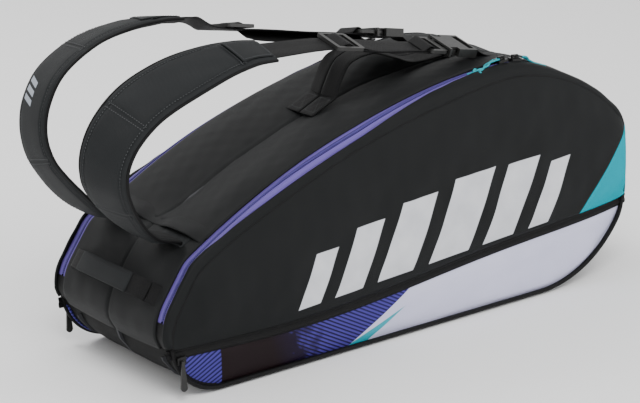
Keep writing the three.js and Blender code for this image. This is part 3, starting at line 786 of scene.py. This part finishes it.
for side, sign in SIDES:
    lid = f"{side}_lid"
    face = side_face(f"{side}_side_fabric", sign, True, side_cloth, 51 + sign, 8.0, PANEL_DEPTH)
    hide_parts(f"{side}_side_panel")
    # the pocket line's hinge points are worked out here, and nothing uses them
    fold = split_at(np.array([0.0, 700.0]))
    fold_up = np.array((-(fold[1] - fold[0]) / 700, 0, 1)) * 22
    fold_from = np.array((0, sign * HALF_WIDTH, fold[0] - 2))
    bag(fold_from)
    bag(fold_from + fold_up)
    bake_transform(face)
    attach(edge_strip(f"{side}_edge_strip", sign), lid)
    pocket = side_face(f"{side}_pocket_fabric", sign, False, pocket_cloth, 61 + sign, 6.0, 3.0)
    attach(pocket, "bag", f"{side}_pocket_panel")
    piping(f"{side}_top_piping", sign, S_NOSE + 4, S_LOW + 2, 240, lid, f"{side}_side_piping")
    piping(f"{side}_low_piping", sign, S_LOW - 2, S_NOSE + TOTAL - 3, 220, "bag", f"{side}_base_piping")

# ---------------------------------------------------------------- main zips
def zip_half(name, sign, outward):
    """One tape of a main zip with its row of coil loops."""
    s0, s1 = ZIP_SPAN
    direction = 1 if outward else -1
    rows = int((s1 - s0) / 5)
    s = np.linspace(s0, s1, rows)
    c = zip_at(zip_x(s))
    wide = along(TAPE_WIDTH, zip_x(s)) + 2.5
    # from the chain outwards: millimetres, share of the tape's width, and height
    profile = ((2.2, 0, 1.5), (2.6, 0, 1.9), (0, 0.5, 1.7), (0, 0.8, 1.4), (0, 0.96, 0.9), (0, 1, 0.0))
    grid, uv = [], []
    for plain, share, lift in profile:
        off = plain + share * wide
        grid.append(over(s, sign * np.minimum(c + direction * off, EDGE - 2), lift))
        uv.append(np.stack([s, off], 1))
    tape = sheet_mesh(name + "_cloth", np.stack(grid, 1), purple, np.stack(uv, 1), 0, flip=(sign > 0) == outward)
    # coil: short loops reaching across the middle
    pitch = 2.6
    at = np.arange(s0 + (5 if outward else 5 + pitch / 2), s1 - 5, pitch)
    ca = zip_at(zip_x(at))
    points, faces = [], []
    half = 0.62
    for corner_s in (-half, half):
        for corner_c, corner_h in ((2.2, 0.6), (2.0, 2.3), (-0.5, 2.7), (-0.9, 1.4)):
            points.append(over(at + corner_s, sign * (ca + direction * corner_c), corner_h))
    points = np.stack(points, 1)
    quads = [(0, 1, 2, 3), (7, 6, 5, 4), (0, 4, 5, 1), (1, 5, 6, 2), (2, 6, 7, 3), (3, 7, 4, 0)]
    for i in range(len(at)):
        faces += [tuple(i * 8 + k for k in q) for q in quads]
    loops = mesh_object(name + "_coil", points.reshape(-1, 3), faces, coil)
    return tape, loops


for side, sign in SIDES:
    for outward, node, body in ((False, f"{side}_zip_tape_fixed", "bag"),
                                (True, f"{side}_zip_tape_opening", f"{side}_lid")):
        tape, loops = zip_half(f"{side}_{'opening' if outward else 'fixed'}_tape", sign, outward)
        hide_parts(node)
        for o in (tape, loops):
            attach(o, body)

for side, sign in SIDES:
    covers = []

    def rim(off):
        return lambda x: sign * (zip_at(x) + off)

    for s0, s1 in ((ZIP_SPAN[1] - 3, S_LOW + 1), (S_NOSE, ZIP_SPAN[0] + 3)):
        grid, uv = panel_grid(s0, s1, rim(-13.5), rim(13.5), 4.0, 9, 2.4)
        covers.append(sheet_mesh(f"{side}_zip_end", grid, trim, uv, 0, flip=sign < 0))
    ends = join(f"{side}_zip_ends", covers)
    attach(ends, "bag")

# the back panel's lower hem lies over the straps' ends
def hem_lift(s, c):
    rise = smooth((s - S_HEM + 30) / 34)
    over_roots = 7.5 * np.exp(-(((np.abs(c) - ROOT_Y) / 38) ** 4))
    return 0.6 + rise * (1.6 + over_roots) - 5 * np.exp(-((c / 48) ** 2)) * (1 - rise)


grid, uv = panel_grid(S_HEM - 30, S_HEM + 9, -107, 107, 2.5, 61, hem_lift)
hem = sheet_mesh("back_hem", grid, shell, uv, 2.0)
c = np.linspace(-104, 104, 80)
line = over(np.full(80, S_HEM + 4), c, hem_lift(np.full(80, S_HEM + 4), c) + 0.2)
hem_seam = stitches("back_hem_stitches", line, (-0.6, 0, 0.8), thread)
for o in (hem, hem_seam):
    attach(o, "bag")

# ---------------------------------------------------------------- pocket zips
for side, sign in SIDES:
    x = np.linspace(2.5, 742, 180)
    z = split_at(x)
    y = -HALF_WIDTH * width_at(x)
    rows = []
    for dy, dz in ((0.4, 0.2), (-1.6, -0.6), (-1.8, -3.6), (-1.0, -4.6),
                   (-0.9, -7.2), (-1.8, -8.2), (-1.9, -12.5), (0.2, -14.5)):
        rows.append(np.stack([x, y + dy, z + dz], 1))
    grid = np.stack(rows, 1)
    if sign > 0:
        grid[..., 1] *= -1
    zipper = sheet_mesh(f"{side}_pocket_zip_tape", grid, trim, None, 0, flip=sign < 0)
    attach(zipper, "bag", f"{side}_pocket_zip")

# ---------------------------------------------------------------- shoulder straps
# Each one's buckle and adjuster (x), cross seams (share of the pad), the buckle's height over the back,
# turn (share of the pad, degrees) and the line of its pad.
STRAPS = {
    "near": dict(sign=-1, buckle=470, adjuster=322, seams=(0.22, 0.5, 0.86), up=30, turn=(
        (0, 0), (0.1, 0), (0.19, 4), (0.27, 14), (0.33, 17), (0.42, 26), (0.52, 32), (0.6, 32), (0.85, 24),
        (1, 20)), pad=(
        (58, 60, 179), (48, 60, 183), (22, 62, 192), (-4, 66, 213), (-28, 74, 243), (-42, 83, 272), (-42, 88, 303),
        (-26, 91, 334), (8, 92, 362), (60, 90, 381), (117, 84, 391), (165, 76, 392), (200, 70, 388))),
    "far": dict(sign=1, buckle=440, adjuster=232, seams=(0.3, 0.66, 0.9), up=36, turn=(
        (0, 0), (0.1, -8), (0.22, -9), (0.32, 2), (0.45, 5), (0.65, 7), (0.9, 8), (1, 16)), pad=(
        (58, 60, 179), (48, 60, 183), (24, 62, 193), (0, 67, 214), (-21, 76, 242), (-34, 84, 270), (-37, 89, 303),
        (-28, 91, 337), (-4, 92, 370), (42, 90, 397), (92, 84, 409), (134, 76, 411), (164, 70, 408))),
}


def back_height(x):
    """The back's height at x, where 515.7 is the two arcs' meeting."""
    cx, cz, r = BACK_ARC if x < 515.7 else CREST_ARC
    return cz + math.sqrt(r * r - (x - cx) ** 2)


def on_side(points, sign):
    p = np.array(points, float)
    p[:, 1] *= sign
    return p


def along_strap(t, table):
    """The table's values at t, smoothed over a tenth of the strap to each side."""
    at, values = np.array(table, float).T
    return sum(np.interp(t + d, at, values) for d in (-0.08, -0.04, 0, 0.04, 0.08)) / 5


def pad_meshes(side, strap):
    """The padded strap: cloth over foam on the outside, mesh on the inside, bound edges and sewn lines."""
    sign = strap["sign"]
    n = 150
    line = curve_points(on_side(strap["pad"], sign), n)
    t = np.linspace(0, 1, n)
    width = np.where(t < 0.16, 48 + 22 * t / 0.16, np.where(t > 0.72, 70 - 26 * (t - 0.72) / 0.28, 70))
    width = np.convolve(np.pad(width, 8, mode="edge"), np.ones(17) / 17, mode="valid")
    turn = sign * along_strap(t, strap["turn"])
    thick = 12.0 - 5 * smooth((t - 0.88) / 0.12) - 4 * smooth((0.08 - t) / 0.08)
    _, across, up = frames(line, turn)
    run = run_along(line)
    e = np.sin(np.linspace(-math.pi / 2, math.pi / 2, 33))
    seam = 1 - 7.5 / (width[:, None] / 2)
    body = np.sqrt(np.clip(1 - np.abs(e) ** 3.5, 0, 1))[None]
    groove = 0.30 * np.exp(-(((np.abs(e)[None] - seam) / 0.035) ** 2))
    puff = ripple(run[:, None], e[None] * 35, 71 + sign, 60) * 0.5 * body
    pucker = 0.35 * np.sin(run[:, None] / 2.1) * np.exp(-(((np.abs(e)[None] - seam) / 0.09) ** 2))
    cross = sum(np.exp(-(((np.arange(n) - int(at * n) - 1) / 1.6) ** 2)) for at in strap["seams"])[:, None]
    top = thick[:, None] / 2 * (body - groove) * (1 - 0.28 * cross) + puff + pucker
    under = -thick[:, None] / 2 * (body * 0.9 - groove) + puff * 0.5
    made = []
    cloth = marked_cloth if sign > 0 else strap_cloth
    wide = width[:, None] / 2 * e[None]
    for label, h, material, flip in (("cloth", top, cloth, False), ("mesh", under, spacer, True)):
        grid = line[:, None] + across[:, None] * wide[..., None] + up[:, None] * h[..., None]
        uv = np.stack([np.repeat(run[:, None], 33, 1), wide], -1)
        made.append(sheet_mesh(f"{side}_pad_{label}", grid, material, uv, 0, flip=flip))
    bindings = []
    for k in (-1, 1):
        edge = line + across * (width / 2 * k)[:, None]
        bindings.append(tube_mesh(f"{side}_binding", edge, 2.1, trim, 8))
    made.append(join(f"{side}_pad_binding", bindings))
    lines = []
    for k in (-1, 1):
        e_seam = k * (width / 2 - 7.5)
        path = line + across * e_seam[:, None] + up * (thick / 2 * 0.72 + 0.2)[:, None]
        lines.append(stitches(f"{side}_seam", path[4:-4], up[4:-4], thread))
    for at in strap["seams"]:
        for i in (int(at * n), int(at * n) + 2):
            e_line = np.linspace(-0.86, 0.86, 24)[:, None] * width[i] / 2
            h = thick[i] / 2 * np.sqrt(1 - np.abs(np.linspace(-0.86, 0.86, 24)) ** 3.5)[:, None]
            path = line[i] + across[i] * e_line + up[i] * (h + 0.3)
            lines.append(stitches(f"{side}_seam", path, up[i], thread, 3.4, (2.4, 0.6, 0.5)))
    made.append(join(f"{side}_pad_stitches", lines))
    return made, line, across, up, width, thick


for side, strap in STRAPS.items():
    sign = strap["sign"]
    body = f"{side}_strap"
    made, line, across, up, width, thick = pad_meshes(side, strap)
    hinge_from, hinge_to = bag((30, sign * ROOT_Y, 184)), bag((30, sign * ROOT_Y, 210))
    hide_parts(f"{side}_shoulder_pad")
    for o in made:
        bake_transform(o)

    # the webbing's end is sewn under a square patch on the pad
    i0, i1 = int(0.87 * len(line)), len(line) - 1
    e_patch = np.linspace(-0.74, 0.74, 17)
    h_patch = thick[i0:i1, None] / 2 * np.sqrt(1 - np.abs(e_patch) ** 3.5)[None] + 1.3
    wide = width[i0:i1, None] / 2 * e_patch
    grid = line[i0:i1, None] + across[i0:i1, None] * wide[..., None] + up[i0:i1, None] * h_patch[..., None]
    patch = sheet_mesh(f"{side}_patch", grid, strap_cloth, None, 1.2)
    ring = np.vstack([grid[1, 1:-1], grid[1:-1, -2], grid[-2, -2:1:-1], grid[-2:1:-1, 1]])
    sewn = stitches(f"{side}_patch_stitches", ring, up[i1], thread, 3.4, (2.4, 0.6, 0.6))
    for o in (patch, sewn):
        attach(o, body)

    # webbing on to the adjuster and the buckle
    end_point = np.array((strap["buckle"], sign * BUCKLE_Y, back_height(strap["buckle"]) + strap["up"]))
    before, last = on_side(strap["pad"][-2:], sign)
    heading = (last - before) / np.linalg.norm(last - before)
    start = np.array((strap["adjuster"] - 30, sign * 54, last[2] + (end_point[2] - last[2]) * 0.22))
    way = [last - heading * 24, last + heading * 14]
    way += [start + (end_point - start) * f for f in (0, 0.25, 0.5, 0.75, 1)]
    web = curve_points(way, 110)
    f = np.linspace(0, 1, 110)
    web_lean = sign * np.interp(f, (0, 0.3, 1), (20, 12, 12))
    ribbon = band_mesh(f"{side}_webbing", web, WEB_WIDTH, 1.7, webbing, web_lean, wave=0.25)
    attach(ribbon, body, f"{side}_strap_webbing")
    direction = (end_point - start) / np.linalg.norm(end_point - start)
    # the webbing's return: back from the buckle's bar under the strap to the adjuster
    back_way = [end_point + direction * -8 - (0, 0, 1.6), end_point + direction * -30 - (0, 0, 5.0),
                start + direction * 80 - (0, 0, 7.0), start + direction * 44 - (0, 0, 3.0)]
    back_way = curve_points(back_way, 60)
    ribbon = band_mesh(f"{side}_webbing_return", back_way, WEB_WIDTH - 1, 1.6, webbing, sign * 12, wave=0.4, seed=4)
    attach(ribbon, body)

    # webbing wound over the adjuster's middle bar and round the buckle's bar
    _, side_on, out_of = frames(np.array((start, end_point)), sign * 12)
    side_on, out_of = side_on[0], out_of[0]

    def wound(name, centre, way, rider):
        path = curve_points([centre + direction * a + out_of * h for a, h in way], 40)
        turn_band = band_mesh(name, path, WEB_WIDTH - 2, 1.5, webbing, across=side_on)
        attach(turn_band, rider)

    seat = 3.85  # a plate's middle over the webbing's
    wound(f"{side}_adjuster_turn", start + direction * 30 + out_of * seat,
          ((-13, -1.6), (-11, 0.5), (-6.5, 2.4), (0, 4.0), (6.5, 2.4), (11, 0.5), (13, -1.6)), f"{side}_adjuster")
    wound(f"{side}_buckle_turn", end_point + out_of * seat,
          ((-13.5, -1.0), (-17.5, 0.8), (-19, 4.0), (-24, 4.6), (-29, 1.0), (-33, -2.4)), f"{side}_buckle")

    # anchor webbing on the back panel
    foot = strap["buckle"] + 86
    hook = end_point + direction * 50 + (0, 0, 3)
    down = [hook] + [(foot + on, sign * BUCKLE_Y, back_height(foot + on) + lift) for on, lift in (
        (-22, 9), (0, 3), (20, 2))]
    anchor = band_mesh(f"{side}_anchor", curve_points(down, 40), WEB_WIDTH, 1.8, webbing)
    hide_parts(f"{side}_strap_anchor")
    bag(hook)
    bag((foot - 16, sign * BUCKLE_Y, back_height(foot - 16)))
    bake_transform(anchor)

    # root: the strap's webbing tongue that comes out from under the hem
    root_s = np.linspace(run_at_x(86), run_at_x(58), 16)
    root_line = over(root_s, np.full(16, sign * ROOT_Y), np.linspace(1.5, 5.5, 16))
    root = band_mesh(f"{side}_root", root_line, 54, 4.5, strap_cloth)
    attach(root, "bag", f"{side}_strap_root")

# ---------------------------------------------------------------- handles
def tab_stitch(line, across, up, width, name):
    """A sewn box with a cross in it on a webbing tab."""
    w = width / 2 - 4
    a, b = line[2], line[-3]
    u = up[len(up) // 2]
    corners = [a + across[2] * w, b + across[-3] * w, b - across[-3] * w, a - across[2] * w, a + across[2] * w]
    legs = [(i, i + 1) for i in range(4)] + [(0, 2), (1, 3)]
    paths = [np.array([corners[i] + (corners[j] - corners[i]) * t for t in np.linspace(0, 1, 6)]) for i, j in legs]
    return join(name, [stitches(name, p + u * 1.1, u, thread, 3.2, (2.2, 0.5, 0.4)) for p in paths])


# The carry handle's line: x and height over the back.
HANDLE = ((329.5, 8.6), (336, 21), (350, 41), (364, 47), (388, 46), (402, 41), (430, 25), (458, 11), (504.5, 7.6))
for side, sign in SIDES:
    loop = curve_points([(x, sign * HANDLE_Y, back_height(x) + up) for x, up in HANDLE], 90)
    handle = band_mesh(f"{side}_handle_webbing", loop, HANDLE_WIDTH, 2.2, webbing, sign * 8, wave=0.3, seed=2 + sign)
    attach(handle, f"{side}_handle", f"{side}_carry_handle")
    for label, (x0, x1), (l0, l1) in (("low", (294, 331), (2.5, 9)), ("high", (503, 542), (7.6, 2.5))):
        xs = np.linspace(x0, x1, 14)
        heights = [back_height(x) + l0 + (l1 - l0) * k / 13 for k, x in enumerate(xs)]
        path = np.stack([xs, np.full(14, sign * HANDLE_Y), heights], 1)
        tab = band_mesh(f"{side}_tab_{label}", path, HANDLE_WIDTH + 1, 2.4, webbing)
        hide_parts(f"{side}_handle_tab_{label}")
        _, across, up = frames(path, 0)
        sewn = tab_stitch(path, across, up, HANDLE_WIDTH + 1, f"{side}_tab_{label}_stitches")
        for o in (tab, sewn):
            attach(o, "bag")


def grab_point(t, y, out):
    """A point on the slope between the two low arcs: t down it, y across and out from the fabric."""
    n = np.array((math.cos(math.radians(145)), math.sin(math.radians(145))))
    high, low = (np.array(arc[:2]) + n * (arc[2] + out) for arc in (SHOULDER_ARC, LOW_ARC))
    p = high + (low - high) * t
    return (p[0], y, p[1])


slope = np.array(grab_point(0, 0, 0)) - np.array(grab_point(1, 0, 0))
slope /= np.linalg.norm(slope)
grab_line = curve_points([grab_point(0.95, y, out) for y, out in (
    (-84, 9.9), (-72, 17), (-38, 21.5), (0, 22), (38, 21.5), (72, 17), (84, 9.9))], 80)
wrap = band_mesh("grab_handle_webbing", grab_line, 25, 2.6, webbing, across=slope, wave=0.3)
attach(wrap, "grab", "grab_handle")
cover_line = grab_line[14:-14]
cover = band_mesh("grab_handle_cover", cover_line, 25.6, 5.0, strap_cloth, across=slope)
attach(cover, "grab")
for side, sign in SIDES:
    path = curve_points([grab_point(0.95, sign * y, out) for y, out in ((105, -2), (96, 1), (86, 9))], 14)
    tab = band_mesh(f"{side}_grab_tab", path, 26, 2.6, webbing, across=slope)
    attach(tab, "bag", f"grab_handle_tab_{side}")

# ---------------------------------------------------------------- hardware: the CAD's own solids with softened edges
def soften(node, material, width):
    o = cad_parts[node]
    o.data.materials.clear()
    o.data.materials.append(material)
    b = o.modifiers.new("edge", "BEVEL")
    b.width, b.segments, b.limit_method = width * 0.001, 2, "ANGLE"
    b.angle_limit = math.radians(40)
    b.harden_normals = False


for side, sign in SIDES:
    for name in ("strap_adjuster", "buckle_prongs", "buckle_socket"):
        soften(f"{side}_{name}", plastic, 0.8)
    soften(f"{side}_pocket_pull", plastic, 0.5)
    soften(f"{side}_pocket_slider", metal, 0.6)
    for which in ("rear", "front"):
        soften(f"{side}_{which}_slider", metal, 0.5)
        soften(f"{side}_{which}_pull_eye", metal, 0.25)
for name in ("centre_divider", "near_pocket_lining", "far_pocket_lining"):
    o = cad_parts[name]
    o.data.materials.clear()
    o.data.materials.append(lining)


# ---------------------------------------------------------------- pull cords
SLIDERS = {  # the outline's arc and angle at each slider, and which way its pull points along the bag
    ("near", "rear"): (BACK_ARC, 92.7, -1),
    ("near", "front"): (CREST_ARC, 84.5, 1),
    ("far", "rear"): (BACK_ARC, 97.2, -1),
    ("far", "front"): (BACK_ARC, 95.9, 1),
}
CORD = 2.6  # the pull cords' thickness
# Along the cord from the slider's eye: how far along the zip, across towards the side, and above the fabric.
NEAR_WAY = ((7, 0, 8.5), (17, 0.5, 8), (27, 1, 5), (37, 3.5, 3.2), (45, 5, 3.2), (54, 5, 2.4), (64, 7, 1.6))
FAR_WAY = ((5, 4, 8), (7, 9, 8), (9, 13, 4.5), (9, 18, 2.6), (9, 26, 2.4), (9, 34, 2.4), (10, 42, 2.2))
for (side, which), ((cx, cz, r), angle, towards) in SLIDERS.items():
    sign = dict(SIDES)[side]
    x0 = cx + r * math.cos(math.radians(angle))
    s0, body = run_at_x(x0), f"{side}_{which}_pull"

    def on_bag(ahead, across, lift):
        """The point so far along the zip from the slider, across from it and above the fabric."""
        place, normal = at_run([s0 - towards * ahead])
        slack = along(SUNK, place[0, 0]) * smooth(1 - ahead / 30)  # the slider itself stands on the stretched line
        c = ZIP_Y + across
        down = max(0.0, c - 131) * normal[0]
        return over([s0 - towards * ahead], [sign * min(c, 131)], [lift + slack])[0] - (down[0], 0, down[1])

    way = NEAR_WAY if sign < 0 else FAR_WAY
    strands = []
    for k in (-1, 1):
        line = []
        for i, (a, b, c) in enumerate(way):
            spread = k * (2.4, 2.6, -2.2, 1.5, 1.5, 3.4, 5.5)[i]
            aside = (a + spread, b) if sign > 0 else (a + (3 * k if i == 6 else 0), b + spread)
            line.append(on_bag(*aside, c + 0.9 * k * (i % 2)))
        line = curve_points(line, 60)
        strand = tube_mesh(f"{side}_{which}_cord_{'a' if k < 0 else 'b'}", line, CORD / 2, cyan)
        length = np.linalg.norm(np.diff(line, axis=0), axis=1).sum() * 0.001
        strands.append((strand, line, length))
    knot_at = on_bag(*way[4])
    ahead = on_bag(way[4][0] + 2, way[4][1], way[4][2]) - knot_at
    ahead /= np.linalg.norm(ahead)
    across = on_bag(way[4][0], way[4][1] + 2, way[4][2]) - knot_at
    across /= np.linalg.norm(across)
    out_dir = np.cross(ahead, across) * towards * -sign
    t = np.linspace(0, 2 * math.pi, 49)[:, None]
    turns = (knot_at + out_dir * 1.2 + ahead * (4.6 * np.cos(t) + 1.8 * np.cos(3 * t))
             + across * (3.8 * np.sin(t) + 1.4 * np.sin(2 * t)) + out_dir * 2.0 * np.sin(3 * t))
    knot = tube_mesh(f"{side}_{which}_knot", turns, 1.9, cyan, up=(0.1, 1, 0.2))
    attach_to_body(knot, body)
    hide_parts(f"{side}_{which}_pull_cord")
    for strand, line, length in strands:
        attach(strand, body)
        bag(line[0])
        bag(line)

# ---------------------------------------------------------------- stage
def camera():
    az, el, roll = math.radians(-35.154), math.radians(17.224), math.radians(-1.956)
    target, distance = Vector((-0.0348, 0.02675, 0.1465)), 3.2363
    back_dir = Vector((math.sin(az) * math.cos(el), -math.cos(az) * math.cos(el), math.sin(el)))
    right = (-back_dir).cross(Vector((0, 0, 1))).normalized()
    up = right.cross(-back_dir)
    r = right * math.cos(roll) + up * math.sin(roll)
    u = up * math.cos(roll) - right * math.sin(roll)
    data = bpy.data.cameras.new("camera")
    data.sensor_width, data.lens, data.clip_end = 36, 140.7, 20
    o = bpy.data.objects.new("camera", data)
    o.matrix_world = Matrix((r, u, back_dir)).transposed().to_4x4()
    o.location = target + back_dir * distance
    scene.collection.objects.link(o)
    scene.camera = o


def area_light(name, place, target, size, power):
    data = bpy.data.lights.new(name, "AREA")
    data.size, data.energy, data.shape = size, power, "DISK"
    o = bpy.data.objects.new(name, data)
    o.location = place
    o.rotation_euler = (Vector(target) - Vector(place)).to_track_quat("-Z", "Y").to_euler()
    scene.collection.objects.link(o)


camera()
area_light("key", (-1.0, -2.2, 2.6), (0, 0, 0.15), 1.6, 70)
area_light("fill", (1.8, -2.4, 1.2), (0.1, 0, 0.15), 1.6, 26)
area_light("rim", (-0.6, 2.0, 2.2), (0, 0, 0.3), 1.4, 30)
world = bpy.data.worlds.new("studio")
scene.world = world
world.use_nodes = True
world.node_tree.nodes["Background"].inputs[0].default_value = (1, 1, 1, 1)
world.node_tree.nodes["Background"].inputs[1].default_value = 1.0

bpy.ops.mesh.primitive_plane_add(size=14, location=(0, 0, -0.001))
floor = bpy.context.active_object
floor.name = "floor"
pale = bpy.data.materials.new("floor")
pale.use_nodes = True
pale.node_tree.nodes["Principled BSDF"].inputs["Base Color"].default_value = (0.93, 0.93, 0.93, 1)
pale.node_tree.nodes["Principled BSDF"].inputs["Roughness"].default_value = 0.9
floor.data.materials.append(pale)
